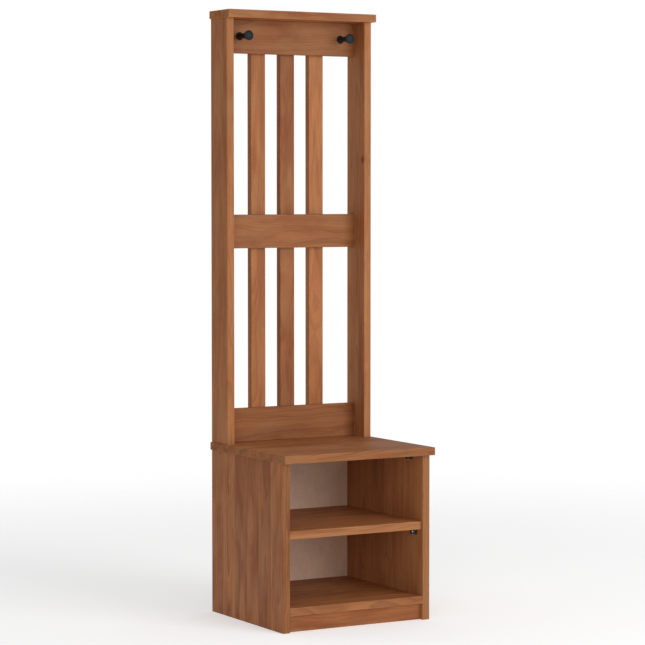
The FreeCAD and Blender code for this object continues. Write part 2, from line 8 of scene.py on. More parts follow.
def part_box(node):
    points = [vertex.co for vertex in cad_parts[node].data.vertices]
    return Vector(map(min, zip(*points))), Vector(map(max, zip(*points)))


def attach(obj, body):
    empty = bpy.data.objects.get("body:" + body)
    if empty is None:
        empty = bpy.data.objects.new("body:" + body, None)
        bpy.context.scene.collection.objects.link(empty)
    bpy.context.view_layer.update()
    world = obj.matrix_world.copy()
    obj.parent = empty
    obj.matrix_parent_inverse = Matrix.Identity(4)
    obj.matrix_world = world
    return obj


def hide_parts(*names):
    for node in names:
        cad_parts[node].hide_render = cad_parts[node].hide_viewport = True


bl_info = {
    "name": "Hall tree",
    "version": (1, 0, 0),
    "blender": (4, 5, 0),
    "location": "3D View > Sidebar > Hall tree",
    "description": "Finishes and fittings of a pine hall tree with two knobs",
    "category": "Object",
}

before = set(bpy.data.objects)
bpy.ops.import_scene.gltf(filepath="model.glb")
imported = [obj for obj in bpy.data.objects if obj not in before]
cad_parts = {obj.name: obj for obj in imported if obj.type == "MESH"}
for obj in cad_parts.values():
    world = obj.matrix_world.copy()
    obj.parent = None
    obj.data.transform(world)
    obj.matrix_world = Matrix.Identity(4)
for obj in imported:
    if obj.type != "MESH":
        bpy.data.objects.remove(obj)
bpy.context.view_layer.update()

# Each pine board: the axes along its grain, across its width and through its thickness, a number that
# picks its figure, and how it took the stain: how light it is, how much redder and how much greener.
BOARDS = {
    "side_panel_left": ("ZYX", 29, 0.8, 0.2, 0.0),
    "side_panel_right": ("ZYX", 90, 0.99, -0.2, 0.42),
    "post_left": ("ZYX", 127, 0.86, -0.05, 0.1),
    "post_right": ("ZYX", 146, 0.94, -0.05, 0.2),
    "slat_left": ("ZXY", 183, 0.9, -0.05, 0.05),
    "slat_centre": ("ZXY", 214, 0.81, 0.2, 0.0),
    "slat_right": ("ZXY", 263, 0.98, -0.1, 0.05),
    "top_rail": ("XZY", 282, 0.67, 0.1, 0.0),
    "middle_rail": ("XZY", 337, 0.78, 0.1, 0.0),
    "bottom_rail": ("XZY", 344, 0.75, 0.05, 0.0),
    "front_plinth": ("XZY", 387, 0.76, 0.05, 0.0),
    "seat_board": ("XYZ", 430, 0.97, 0.0, 0.05),
    "middle_shelf": ("XYZ", 473, 1.19, -0.2, 0.35),
    "bottom_shelf": ("XYZ", 492, 0.94, -0.1, 0.12),
    "cap_board": ("XYZ", 529, 1.18, -0.1, 0.05),
}
# How often each pattern in the wood repeats in a metre, along, across and through the grain.
BEND = (5, 9, 9)
WAVER = (9, 42, 42)
RAGGED = (90, 90, 90)
FIBRE = (16, 650, 650)
STREAK = (2.4, 40, 40)
BLOTCH = (3.6, 16, 16)
CLOUD = (4.5, 14, 14)
PORES = (45, 1500, 1500)
CHAFE = (30, 140, 140)
# How far the rings stray from true circles, slowly and quickly, in metres.
BEND_SIZE = 0.034
WAVER_SIZE = 0.0034
# The log's middle: how far under a board it lies at least, how much further it may, and how it leans.
LOG_DEPTH = 0.022
LOG_DEPTH_MORE = 0.035
LOG_LEAN = (0.14, 0.1)
# A ring from its pale to its dark side, as (place, darkness) stops, and what any ring has of that.
RING_STOPS = [(0, 0.0), (0.5, 0.22), (0.82, 0.8), (0.93, 1.0), (1.0, 0.0)]
PALEST_RING = 0.2
ZONES = 48  # slow changes of tone in a metre of radius
# One knot may grow in each cell of this width and length, up to this radius.
KNOT_CELL = (0.13, 0.42)
KNOT_RADIUS = 0.01
KNOT_SHARE = 0.6  # of the cells that stay clear
RELIEF = {"late": 0.00004, "fibre": 0.00005, "pores": 0.00006, "knot": 0.00008}  # metres
GLUE_LINE = 0.0006
WORN_WIDTH = 0.0032
RUBBED = 1.75  # how much lighter a worn edge is
WIDE_BOLDNESS = 1.5  # how much bolder the figure of boards glued up from strips is
BLOCK_PLACES = (
    "seat",
    "middle_shelf",
    "bottom_shelf",
    "top_rail",
    "middle_rail",
    "bottom_rail",
    "plinth",
    "cap",
    "frame_foot",
)
DOWEL_PLACES = ("rail", "cap", "post_foot", "seat", "bottom_shelf", "plinth")
FULL_TURN = 2 * math.pi
SHARP = math.radians(30)  # an edge that gets rounded
CREASE = math.radians(38)  # an edge that stays crisp
SCREW_STEPS = 28  # sides of a screw's head and shank
THREAD_STEPS = 12  # sides of one turn of a thread
THREAD_ROOT = 0.76  # a shank under its thread, as a share of the thread's crest
POINT_LENGTH = 2.2  # a screw's point, in shank radii
HEAD_HEIGHT = 0.3  # a block screw's head, as a share of its width
BOLT_HEAD_HEIGHT = 0.35  # a machine screw's head, as a share of its width
BOLT_HOLE = 0.00205  # the radius inside the washers and the inserts
GROOVE = 0.0003  # the depth of the dowels' flutes and the inserts' knurls
NAIL_SHANK = 0.233  # a nail's shank radius, as a share of its head's width
NAIL_GRIPS = 6  # rings under a nail's head
GRIPS_DOWN = 0.0045  # from a nail's head to its lowest grip ring
GRIP_PITCH = 0.0005


# --- Shader building -------------------------------------------------------------------------


class Value:
    """A socket's output, with the maths on it written as Python expressions."""

    def __init__(self, shader, socket):
        self.shader = shader
        self.socket = socket

    def _with(self, operation, *values):
        sockets = dict(enumerate(values))
        return self.shader.node("ShaderNodeMath", {"operation": operation}, sockets)["Value"]

    def __add__(self, other):
        return self._with("ADD", self, other)

    def __radd__(self, other):
        return self._with("ADD", other, self)

    def __sub__(self, other):
        return self._with("SUBTRACT", self, other)

    def __rsub__(self, other):
        return self._with("SUBTRACT", other, self)

    def __mul__(self, other):
        return self._with("MULTIPLY", self, other)

    def __rmul__(self, other):
        return self._with("MULTIPLY", other, self)

    def __truediv__(self, other):
        return self._with("DIVIDE", self, other)

    def __pow__(self, other):
        return self._with("POWER", self, other)

    def __abs__(self):
        return self._with("ABSOLUTE", self)

    def __floor__(self):
        return self._with("FLOOR", self)

    def least(self, other):
        """The smaller of two values."""
        return self._with("MINIMUM", self, other)

    def most(self, other):
        """The larger of two values."""
        return self._with("MAXIMUM", self, other)

    def fraction(self):
        """What is left above the whole number below."""
        return self._with("FRACT", self)


class Shader:
    """A material, built node by node and finished with one principled surface."""

    def __init__(self, name):
        self.material = bpy.data.materials.new(name)
        self.material.use_nodes = True
        self.tree = self.material.node_tree
        self.tree.nodes.clear()

    def node(self, kind, settings=None, values=None):
        """Adds a node and returns its outputs by name. The settings come first, then the sockets."""
        made = self.tree.nodes.new(kind)
        for name, setting in (settings or {}).items():
            if name == "stops":
                self.set_stops(made.color_ramp, setting)
            else:
                setattr(made, name, setting)
        inputs = [socket for socket in made.inputs if socket.enabled]
        for key, value in (values or {}).items():
            socket = inputs[key] if isinstance(key, int) else next(s for s in inputs if s.name == key)
            if isinstance(value, Value):
                self.tree.links.new(value.socket, socket)
            else:
                socket.default_value = value
        return {socket.name: Value(self, socket) for socket in made.outputs if socket.enabled}

    @staticmethod
    def set_stops(ramp, stops):
        """Gives a colour ramp its stops, each a place and a grey or a colour."""
        while len(ramp.elements) < len(stops):
            ramp.elements.new(1)
        for element, (place, shade) in zip(ramp.elements, stops):
            element.position = place
            element.color = (*shade, 1) if isinstance(shade, tuple) else (shade, shade, shade, 1)

    def vector(self, operation, values):
        """One step of vector maths."""
        return self.node("ShaderNodeVectorMath", {"operation": operation}, values)["Vector"]

    def channels(self, colour):
        """A colour's red, green and blue."""
        return self.node("ShaderNodeSeparateColor", None, {"Color": colour})

    def place(self):
        """The point on the surface, in the object's own coordinates."""
        return self.node("ShaderNodeTexCoord")["Object"]

    def parts(self, vector):
        """A vector's three coordinates, by axis."""
        return self.node("ShaderNodeSeparateXYZ", None, {"Vector": vector})

    def join(self, x, y, z):
        """A vector from three coordinates."""
        return self.node("ShaderNodeCombineXYZ", None, {"X": x, "Y": y, "Z": z})["Vector"]

    def scaled(self, vector, factors, shift=(0, 0, 0)):
        """A vector stretched by a factor along each axis, then shifted."""
        return self.node(
            "ShaderNodeMapping", None, {"Vector": vector, "Location": shift, "Scale": factors}
        )["Vector"]

    def noise(self, vector, detail=2.0, roughness=0.5, distortion=0.0):
        """Soft noise about 0.5."""
        values = {
            "Vector": vector,
            "Scale": 1,
            "Detail": detail,
            "Roughness": roughness,
            "Distortion": distortion,
        }
        return self.node("ShaderNodeTexNoise", None, values)["Fac"]

    def random(self, number):
        """Four random values, the same wherever the number is the same."""
        made = self.node("ShaderNodeTexWhiteNoise", {"noise_dimensions": "1D"}, {"W": number})
        colour = self.channels(made["Color"])
        return made["Value"], colour["Red"], colour["Green"], colour["Blue"]

    def step(self, value, low, high, bottom=0.0, top=1.0):
        """A smooth step from one value to another."""
        values = {"Value": value, "From Min": low, "From Max": high, "To Min": bottom, "To Max": top}
        return self.node("ShaderNodeMapRange", {"interpolation_type": "SMOOTHSTEP"}, values)["Result"]

    def mix(self, factor, first, second):
        """Two colours mixed."""
        values = {"Factor": factor, "A": first, "B": second}
        return self.node("ShaderNodeMix", {"data_type": "RGBA"}, values)["Result"]

    def dim(self, colour, factor):
        """A colour made lighter or darker by a factor."""
        given = colour if isinstance(colour, Value) else tuple(colour)[:3]
        return self.vector("SCALE", {0: given, "Scale": factor})

    def bump(self, height):
        """A normal from a height in metres."""
        return self.node("ShaderNodeBump", None, {"Height": height, "Distance": 1})["Normal"]

    def finish(self, **values):
        """Adds the surface and returns the material."""
        sockets = {name.replace("_", " "): value for name, value in values.items()}
        surface = self.node("ShaderNodeBsdfPrincipled", None, sockets)["BSDF"]
        self.node("ShaderNodeOutputMaterial", None, {"Surface": surface})
        return self.material


def solid(colour):
    """A colour property as the four numbers that a socket takes."""
    return (*colour, 1)


# --- What a user may change ------------------------------------------------------------------


def number_property(name, description, default, **kind):
    """A number that a user may change."""
    return bpy.props.FloatProperty(name=name, description=description, default=default, **kind)


def length_property(name, description, default):
    """A length that a user may change."""
    return number_property(name, description, default, unit="LENGTH", min=0)


def power_property(name, description, default):
    """A lamp's power that a user may change."""
    return number_property(name, description, default, unit="POWER", min=0)


def angle_property(name, description, degrees):
    """An angle that a user may change."""
    return number_property(name, description, math.radians(degrees), unit="ROTATION")


def share_property(name, description, default):
    """A share from 0 to 1 that a user may change."""
    return number_property(name, description, default, subtype="FACTOR", min=0, max=1)


def colour_property(name, description, default):
    """A colour that a user may change."""
    return bpy.props.FloatVectorProperty(
        name=name, description=description, default=default, subtype="COLOR", size=3, min=0, max=1
    )


def place_property(name, description, default):
    """A point that a user may change."""
    return bpy.props.FloatVectorProperty(
        name=name, description=description, default=default, unit="LENGTH"
    )


class PineSettings(bpy.types.PropertyGroup):
    """The stained pine of the boards."""

    honey: colour_property("Honey", "Stained wood where it took least stain", (0.47, 0.18, 0.061))
    russet: colour_property("Russet", "Stained wood where it took most stain", (0.3, 0.095, 0.032))
    olive: colour_property("Olive", "Pale, greenish clouds in the wood", (0.42, 0.19, 0.077))
    latewood: colour_property("Latewood", "The dark edge of each ring", (0.165, 0.05, 0.02))
    knot: colour_property("Knot", "The middle of a knot", (0.08, 0.024, 0.011))
    ring_width: length_property("Ring width", "From one growth ring to the next", 0.0075)
    strip_width: length_property("Strip width", "Of the strips that wide boards are glued up from", 0.075)
    figure: share_property("Figure", "How much the rings show", 0.36)
    wear: share_property("Wear", "How far the stain is rubbed from the edges", 0.35)
    varnish: share_property("Varnish", "The weight of the satin varnish", 0.03)


class PanelSettings(bpy.types.PropertyGroup):
    """The hardboard of the back panel."""

    face: colour_property("Face", "The smooth side, which faces the bays", (0.74, 0.52, 0.38))
    back: colour_property("Back", "The bare side, which faces the wall", (0.21, 0.12, 0.065))
    mesh: length_property("Mesh", "Of the weave that is pressed into the bare side", 0.0016)


class KnobSettings(bpy.types.PropertyGroup):
    """The two turned knobs."""

    colour: colour_property("Colour", "Of the knob's lacquer", (0.009, 0.013, 0.0155))
    base_width: length_property("Base width", "Across the disc that sits on the rail", 0.024)
    base_height: length_property("Base height", "Of the disc that sits on the rail", 0.003)
    neck_width: length_property("Neck width", "Across the neck at its narrowest", 0.0145)
    neck_height: length_property("Neck height", "From the rail to the narrowest place", 0.017)
    dome: length_property("Dome", "How far the face bulges", 0.0035)
    round: length_property("Round", "The radius of the rims", 0.0012)


class FittingSettings(bpy.types.PropertyGroup):
    """The corner blocks, screws, bolts, nails and dowels."""

    plastic: colour_property("Plastic", "Of the corner blocks", (0.012, 0.0125, 0.0135))
    zinc: colour_property("Zinc", "Of the screws, bolts and washers", (0.66, 0.67, 0.66))
    steel: colour_property("Steel", "Of the nails", (0.4, 0.39, 0.37))
    brass: colour_property("Brass", "Of the threaded inserts", (0.72, 0.5, 0.2))
    beech: colour_property("Beech", "Of the dowels", (0.56, 0.38, 0.22))
    edge: length_property("Edge", "The rounding of the blocks' edges", 0.0005)
    screw_pitch: length_property("Screw pitch", "From thread to thread of a wood screw", 0.0018)
    bolt_pitch: length_property("Bolt pitch", "From thread to thread of a machine screw", 0.0007)


class StageSettings(bpy.types.PropertyGroup):
    """The floor, the lights and the camera."""

    floor: colour_property("Floor", "Of the studio floor", (0.9, 0.9, 0.9))
    floor_size: length_property("Floor size", "The side of the square floor", 60)
    floor_reach: length_property("Floor reach", "How far from the middle the floor begins to fade", 1.3)
    floor_glow: share_property("Floor glow", "How much light the floor gives back of its own", 0.34)
    sky: share_property("Sky", "Strength of the light all round", 0.5)
    key: power_property("Key", "Power of the large lamp", 250)
    key_size: length_property("Key size", "The side of the large lamp", 4)
    key_place: place_property("Key place", "Where the large lamp hangs", (2.4, -6.3, 2.1))
    fill: power_property("Fill", "Power of the second lamp", 85)
    fill_size: length_property("Fill size", "The side of the second lamp", 3)
    fill_place: place_property("Fill place", "Where the second lamp hangs", (-4.2, -5.7, 2.1))
    heading: angle_property("Heading", "Which way the camera looks, from straight at the front", 29.7625)
    tilt: angle_property("Tilt", "How far the camera looks down", 3.106)
    distance: length_property("Distance", "From the camera to the point that it looks at", 7.2008)
    aim: place_property("Aim", "The point that the camera looks at", (0.0029, -0.0017, 0.8593))
    lens: number_property("Lens", "Focal length in millimetres", 138.17)


# --- Mesh building ---------------------------------------------------------------------------


def turned(outline, steps):
    """A bmesh turned about Z from an outline of (radius, height) points."""
    bm = bmesh.new()
    points = [bm.verts.new((radius, 0, height)) for radius, height in outline]
    edges = [bm.edges.new(pair) for pair in zip(points, points[1:])]
    bmesh.ops.spin(
        bm,
        geom=points + edges,
        cent=(0, 0, 0),
        axis=(0, 0, 1),
        dvec=(0, 0, 0),
        angle=FULL_TURN,
        steps=steps,
        use_merge=True,
    )
    clean(bm)
    return bm


def clean(bm):
    """Merges doubled points and turns every face outwards."""
    bmesh.ops.remove_doubles(bm, verts=bm.verts, dist=1e-6)
    bmesh.ops.recalc_face_normals(bm, faces=bm.faces)


def ease(bm, offset):
    """Rounds every sharp edge."""
    sharp = [edge for edge in bm.edges if edge.is_manifold and edge.calc_face_angle() > SHARP]
    bmesh.ops.bevel(
        bm,
        geom=sharp,
        affect="EDGES",
        offset=offset,
        segments=2,
        profile=0.5,
        material=-1,
        clamp_overlap=True,
    )


def arc(start, end, middle, count):
    """Points along the shorter arc about a middle, from start to end, both left out."""
    first = math.atan2(start[1] - middle[1], start[0] - middle[0])
    last = math.atan2(end[1] - middle[1], end[0] - middle[0])
    turn = (last - first + math.pi) % FULL_TURN - math.pi
    radius = math.dist(start, middle)
    angles = [first + turn * step / count for step in range(1, count)]
    return [(middle[0] + radius * math.cos(a), middle[1] + radius * math.sin(a)) for a in angles]


def thread(root, crest, pitch, start, end):
    """A bmesh of one helical ridge about Z, from one height to another."""
    bm = bmesh.new()
    foot, top = pitch * 0.28, pitch * 0.04
    outline = [(root, -foot), (crest, -top), (crest, top), (root, foot)]
    points = [bm.verts.new((radius, 0, start + height)) for radius, height in outline]
    first_cap = bm.faces.new(points)
    count = int((end - start) / pitch * THREAD_STEPS)
    swept = bmesh.ops.spin(
        bm,
        geom=list(first_cap.edges) + points,
        cent=(0, 0, 0),
        axis=(0, 0, 1),
        dvec=(0, 0, pitch / THREAD_STEPS),
        angle=FULL_TURN * count / THREAD_STEPS,
        steps=count,
        use_merge=False,
    )
    bm.faces.new([item for item in swept["geom_last"] if isinstance(item, bmesh.types.BMVert)])
    bmesh.ops.recalc_face_normals(bm, faces=bm.faces)
    return bm


def cross_recess(bm, arm, slot, depth):
    """Closes the round opening of a screw's head, at height 0, with a face that has a cross recess."""
    rim = [edge for edge in bm.edges if edge.is_boundary]
    grid = bmesh.ops.create_grid(bm, x_segments=3, y_segments=3, size=arm)["verts"]
    for point in grid:
        for axis in (0, 1):
            if abs(point.co[axis]) < arm * 0.9:
                point.co[axis] = math.copysign(slot / 2, point.co[axis])
    faces = list(dict.fromkeys(face for point in grid for face in point.link_faces))
    edge_loop = [edge for face in faces for edge in face.edges if edge.is_boundary]
    cross = []
    for face in faces:
        centre = face.calc_center_median()
        if min(abs(centre.x), abs(centre.y)) < slot / 4:
            cross.append(face)
    sunk = bmesh.ops.extrude_face_region(bm, geom=cross)["geom"]
    bmesh.ops.delete(bm, geom=cross, context="FACES_ONLY")
    floor = [item for item in sunk if isinstance(item, bmesh.types.BMVert)]
    bmesh.ops.scale(bm, verts=floor, vec=(0.72, 0.72, 1))
    bmesh.ops.translate(bm, verts=floor, vec=(0, 0, -depth))
    bmesh.ops.bridge_loops(bm, edges=edge_loop + rim)


def joined(*parts):
    """One mesh of several bmeshes, which are freed."""
    whole = bmesh.new()
    spare = bpy.data.meshes.new("part")
    for part in parts:
        part.to_mesh(spare)
        part.free()
        whole.from_mesh(spare)
    whole.to_mesh(spare)
    whole.free()
    return spare


def repeated(pattern, places):
    """A bmesh of a mesh repeated, each time moved by a matrix."""
    bm = bmesh.new()
    for matrix in places:
        before = len(bm.verts)
        bm.from_mesh(pattern)
        bm.verts.ensure_lookup_table()
        bmesh.ops.transform(bm, matrix=matrix, verts=bm.verts[before:])
    bpy.data.meshes.remove(pattern)
    return bm


def add_piece(name, bm, material, node):
    """Makes a piece of a bmesh, which stands for a CAD node and rides with the frame."""
    mesh = bpy.data.meshes.new(name)
    for face in bm.faces:
        face.smooth = True
    for edge in bm.edges:
        edge.smooth = not edge.is_manifold or edge.calc_face_angle() < CREASE
    bm.to_mesh(mesh)
    bm.free()
    mesh.materials.append(material)
    piece = bpy.data.objects.new(name, mesh)
    bpy.context.scene.collection.objects.link(piece)
    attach(piece, "root")
    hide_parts(node)


def merged(node):
    """A bmesh copy of a CAD node, with its doubled points merged."""
    bm = bmesh.new()
    bm.from_mesh(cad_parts[node].data)
    bmesh.ops.remove_doubles(bm, verts=bm.verts, dist=2e-6)
    return bm


def solids(node):
    """The points of each separate solid of a CAD node."""
    bm = merged(node)
    left = set(bm.verts)
    groups = []
    while left:
        front = [left.pop()]
        group = list(front)
        while front:
            near = {edge.other_vert(point) for point in front for edge in point.link_edges}
            front = [point for point in near if point in left]
            left.difference_update(front)
            group.extend(front)
        groups.append([point.co.copy() for point in group])
    bm.free()
    return sorted(groups, key=lambda points: tuple(round(part, 4) for part in centre_of(points)))


def corners(points):
    """The lowest and the highest corner of the box round some points."""
    low = Vector(min(point[axis] for point in points) for axis in range(3))
    high = Vector(max(point[axis] for point in points) for axis in range(3))
    return low, high


def centre_of(points):
    """The middle of the box round some points."""
    low, high = corners(points)
    return (low + high) / 2


def pins(node):
    """How each long round solid of a node lies: a matrix that puts a pin's head at its wider end.

    The pin stands along Z, with the top of its head at the origin. Its length and the width of its
    head come with it.
    """
    found = []
    for points in solids(node):
        low, high = corners(points)
        size = high - low
        axis = max(range(3), key=lambda part: size[part])
        centre = (low + high) / 2
        reach = {}
        for way, end in ((-1, low[axis]), (1, high[axis])):
            middle = centre + Vector(unit(axis)) * (end - centre[axis])
            near = [point for point in points if abs(point[axis] - end) < 1e-5]
            reach[way] = max((point - middle).length for point in near)
        way = 1 if reach[1] >= reach[-1] else -1
        top = centre.copy()
        top[axis] = high[axis] if way > 0 else low[axis]
        turn = Vector((0, 0, 1)).rotation_difference(Vector(unit(axis)) * way).to_matrix().to_4x4()
        found.append((Matrix.Translation(top) @ turn, size[axis], size[(axis + 1) % 3]))
    return found


def unit(axis):
    """A unit vector along an axis."""
    return tuple(float(part == axis) for part in range(3))


# --- The pine --------------------------------------------------------------------------------


class PineBoard:
    """Stained pine for one board, with its own rings, knots, strips and worn edges.

    The rings are cylinders about the log's middle, which lies outside the board and leans a little
    away from it, so that the faces show arches and the ends show arcs.
    """

    def __init__(self, board, axes, seed):
        self.look = bpy.context.scene.hall_pine
        self.low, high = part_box(board)
        self.middle = (self.low + high) / 2
        self.half = (high - self.low) / 2
        self.axes = axes
        self.seed = seed
        self.shader = Shader(f"pine_{board}")
        self.lay_out()
        self.grow_knots()
        self.grow_rings()

    def lay_out(self):
        """Finds each point's strip and its place along, across and through the grain."""
        s = self.shader
        length_axis, width_axis, depth_axis = ("XYZ".index(axis) for axis in self.axes)
        width = 2 * self.half[width_axis]
        self.strip_count = max(1, round(width / self.look.strip_width))
        self.strip_width = width / self.strip_count
        self.parts = s.parts(s.place())
        along, across, through = (self.parts[axis] for axis in self.axes)
        across = across - self.low[width_axis]
        self.along = along
        self.through = through - self.middle[depth_axis]
        self.from_middle = along - self.middle[length_axis]
        self.strip = math.floor(across / self.strip_width)
        self.chances = s.random(self.strip + self.seed)
        self.local = across - (self.strip + 0.5) * self.strip_width
        self.shifted = along + (self.chances[1] * 7 + self.seed)
        self.point = s.join(self.shifted, across, self.through)

    def grow_knots(self):
        """Finds the knots, each a short stub of a branch through the board."""
        s = self.shader
        width, length = KNOT_CELL
        cells = s.join(self.local / width + self.strip, (self.shifted + self.through * 0.4) / length, 0)
        values = {"Vector": cells, "Scale": 1, "Randomness": 0.75}
        spots = s.node("ShaderNodeTexVoronoi", {"voronoi_dimensions": "2D"}, values)
        gap = s.parts(s.vector("SUBTRACT", {0: cells, 1: spots["Position"]}))
        ragged = s.noise(s.scaled(self.point, RAGGED), 2) * 0.004
        distance = ((gap["X"] * width) ** 2 + (gap["Y"] * length * 0.8) ** 2) ** 0.5 + ragged
        size = s.step(s.channels(spots["Color"])["Red"], KNOT_SHARE, 1, 0, KNOT_RADIUS)
        self.knot_reach = distance / (size + 0.0001)
        self.knot = s.step(self.knot_reach, 1.0, 0.8)
        self.flow = s.step(self.knot_reach, 3.6, 0.6) * size * 1.5

    def grow_rings(self):
        """Finds how dark each point is for its place in its ring, and the slow zones of tone."""
        s = self.shader
        _, first, second, third = self.chances
        bend = s.noise(s.scaled(self.point, BEND), 2) * BEND_SIZE
        waver = s.noise(s.scaled(self.point, WAVER), 2) * WAVER_SIZE
        aside = self.local - (second - 0.5) * self.strip_width * 1.3 - (third - 0.5) * self.along * 0.03
        lean = (second - 0.5) * LOG_LEAN[0] + (first - 0.5) * LOG_LEAN[1]
        below = self.through + LOG_DEPTH + third * LOG_DEPTH_MORE + lean * self.from_middle
        radius = (aside**2 + below**2) ** 0.5 + bend + waver + self.flow
        count = radius / self.look.ring_width
        ring_tint = s.random(math.floor(count) + self.strip * 31 + self.seed)[0]
        late = s.node("ShaderNodeValToRGB", {"stops": RING_STOPS}, {"Fac": count.fraction()})["Color"]
        self.late = s.channels(late)["Red"] * (PALEST_RING + (1 - PALEST_RING) * ring_tint)
        zones = s.join(radius * ZONES, self.strip * 5 + self.seed, self.along * 0.7)
        self.zone = s.step(s.noise(zones, 2, 0.6), 0.38, 0.62)

    def material(self, lightness, redness, greenness):
        """The stain on the wood, with its end grain, glue lines and worn edges."""
        s, look, point = self.shader, self.look, self.point
        latewood = solid(look.latewood)
        tint, _, second, _ = self.chances
        fibre = s.noise(s.scaled(point, FIBRE), 4, 0.7)
        streak = s.step(s.noise(s.scaled(point, STREAK), 3, 0.6, 0.4), 0.52, 0.7)
        blotch = s.step(s.noise(s.scaled(point, BLOTCH), 3, 0.6, 1.1), 0.36, 0.66)
        cloud = s.step(s.noise(s.scaled(point, CLOUD, (9, 4, 2)), 2, 0.5, 0.8), 0.42, 0.66)
        pores = s.step(s.noise(s.scaled(point, PORES), 1), 0.69, 0.76)
        boldness = WIDE_BOLDNESS if self.strip_count > 1 else 1.0
        took = (self.zone * 0.36 + blotch * 0.5 + tint * 0.44 - 0.65) * boldness + 0.43 + redness
        colour = s.mix(took, solid(look.honey), solid(look.russet))
        colour = s.mix(cloud * 0.45 + greenness, colour, solid(look.olive))
        colour = s.mix(self.late * (look.figure * boldness), colour, latewood)
        colour = s.mix(streak * (0.28 * boldness), colour, latewood)
        colour = s.mix(pores * 0.5, colour, latewood)
        colour = s.mix(s.step(self.knot_reach, 1.9, 0.9) * 0.45, colour, latewood)
        core = s.mix(s.step(self.knot_reach, 0.66, 0.9), latewood, solid(look.knot))
        colour = s.mix(self.knot * 0.8, colour, core)
        colour = s.dim(colour, (0.77 + fibre * 0.34 + second * 0.12) * lightness)

        facing = s.parts(s.node("ShaderNodeTexCoord")["Normal"])[self.axes[0]]
        end = s.step(abs(facing), 0.55, 0.9)
        colour = s.dim(colour, 1 - end * 0.3)
        if self.strip_count > 1:
            line = s.step(abs(abs(self.local) - self.strip_width / 2), GLUE_LINE, GLUE_LINE / 3)
            colour = s.dim(colour, 1 - line * 0.3)
        worn = self.worn()
        colour = s.mix(worn, colour, s.dim(colour, RUBBED))
        height = self.late * RELIEF["late"] + fibre * RELIEF["fibre"]
        height = height - pores * RELIEF["pores"] - self.knot * RELIEF["knot"]
        return s.finish(
            Base_Color=colour,
            Roughness=0.5 + (fibre - 0.5) * 0.16 + worn * 0.3 + end * 0.2 + (blotch - 0.5) * 0.06,
            Coat_Weight=look.varnish * (1 - worn),
            Coat_Roughness=0.28,
            Specular_IOR_Level=0.1,
            Normal=s.bump(height),
        )

    def worn(self):
        """How far the stain is rubbed off, in patches along the edges."""
        s = self.shader
        gaps = [self.half[i] - abs(self.parts["XYZ"[i]] - self.middle[i]) for i in range(3)]
        to_edge = gaps[0].least(gaps[1]).most(gaps[0].most(gaps[1]).least(gaps[2]))
        chafe = s.noise(s.scaled(self.point, CHAFE), 3, 0.65)
        return s.step(to_edge, WORN_WIDTH, WORN_WIDTH / 8) * s.step(chafe, 0.44, 0.68) * self.look.wear


class HALLTREE_OT_pine(bpy.types.Operator):
    """Gives every pine board its own stained wood"""

    bl_idname = "halltree.pine"
    bl_label = "Pine boards"

    def execute(self, context):
        for board, (axes, seed, *stain) in BOARDS.items():
            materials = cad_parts[board].data.materials
            materials.clear()
            materials.append(PineBoard(board, axes, seed).material(*stain))
        return {"FINISHED"}


# --- The back panel --------------------------------------------------------------------------


def hardboard_material():
    """Hardboard: a smooth printed face, and a bare back with a pressed weave."""
    look = bpy.context.scene.hall_panel
    s = Shader("hardboard")
    place = s.place()
    parts = s.parts(place)
    rear = s.step(s.parts(s.node("ShaderNodeTexCoord")["Normal"])["Y"], 0.3, 0.8)
    cloud = s.noise(s.scaled(place, (16, 16, 9)), 3, 0.6)
    flecks = s.noise(s.scaled(place, (420, 420, 240)), 3, 0.7)
    mottle = s.noise(s.scaled(place, (95, 95, 70)), 3, 0.65, 0.6)
    face = s.dim(solid(look.face), 0.62 + cloud * 0.44 + mottle * 0.24 + flecks * 0.1)
    chips = s.step(s.noise(s.scaled(place, (260, 260, 700)), 3, 0.7), 0.42, 0.62)
    back = s.dim(s.mix(chips, solid(look.back), s.dim(solid(look.back), 1.45)), 0.8 + cloud * 0.4)
    wires = []
    for axis in "XZ":
        wave = ((parts[axis] / look.mesh).fraction() - 0.5) * 2
        wires.append(abs(wave))
    weave = wires[0].least(wires[1])
    back = s.dim(back, 0.82 + weave * 0.36)
    return s.finish(
        Base_Color=s.mix(rear, face, back),
        Roughness=0.52 + rear * 0.3 + (flecks - 0.5) * 0.12,
        Specular_IOR_Level=0.35,
        Normal=s.bump(flecks * 0.00004 + rear * (weave * 0.00018 + chips * 0.00006)),
    )


class HALLTREE_OT_back_panel(bpy.types.Operator):
    """Gives the back panel its hardboard"""

    bl_idname = "halltree.back_panel"
    bl_label = "Back panel"

    def execute(self, context):
        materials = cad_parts["back_panel"].data.materials
        materials.clear()
        materials.append(hardboard_material())
        return {"FINISHED"}


# --- The knobs -------------------------------------------------------------------------------


def lacquer_material():
    """Near-black lacquer over turned wood, with faint turning marks."""
    look = bpy.context.scene.hall_knob
    s = Shader("black_lacquer")
    place = s.place()
    peel = s.noise(s.scaled(place, (650, 650, 650)), 2)
    smear = s.noise(s.scaled(place, (70, 70, 70)), 3, 0.6)
    marks = s.noise(s.scaled(place, (60, 2600, 60)), 2)
    colour = s.dim(solid(look.colour), 0.8 + smear * 0.5)
    return s.finish(
        Base_Color=colour,
        Roughness=0.4 + smear * 0.2,
        Specular_IOR_Level=0.18,
        Normal=s.bump(peel * 0.00003 + marks * 0.00002),
    )


